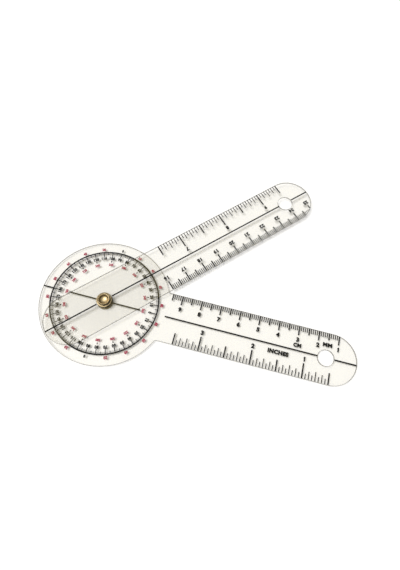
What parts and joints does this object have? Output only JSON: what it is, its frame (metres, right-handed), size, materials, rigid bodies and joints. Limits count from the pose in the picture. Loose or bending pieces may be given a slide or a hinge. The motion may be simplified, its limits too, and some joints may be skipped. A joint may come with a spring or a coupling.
{
  "type": "goniometer",
  "caption": "Clear plastic full-circle goniometer: a printed degree dial made in one with a fixed rule arm, and a second rule arm that turns on a brass rivet.",
  "frame": {"origin": "on the axis of the rivet, at the flat rear face of its head", "axes": "+X along the fixed arm from the rivet to its tip, +Z along the rivet's axis out of the printed side, +Y across the fixed arm towards its centimetre scale"},
  "size_m": [0.16, 0.1278, 0.0049],
  "materials": {
    "clear_plastic": "clear polished sheet, faintly warm at the edges",
    "clear_washer": "clear, slightly milky",
    "rivet_brass": "bright rolled brass",
    "black_ink": "screen-printed ink",
    "red_ink": "screen-printed ink, slightly thin"
  },
  "bodies": {
    "fixed": {"fixed_arm": "clear_plastic", "friction_washer": "clear_washer", "pivot_rivet": "rivet_brass", "front_washer": "rivet_brass", "dial_graduations": "black_ink", "fixed_arm_cm_scale": "black_ink", "fixed_arm_inch_scale": "black_ink", "fixed_arm_centre_line": "black_ink"},
    "moving": {"moving_arm": "clear_plastic", "moving_arm_cm_scale": "black_ink", "moving_arm_inch_scale": "black_ink", "moving_arm_index_line": "black_ink"}
  },
  "joints": [
    {"name": "arm_pivot", "type": "hinge", "parent": "fixed", "child": "moving", "pos_m": [0, 0, 0.00237], "axis": [0, 0, 1], "continuous": true}
  ]
}
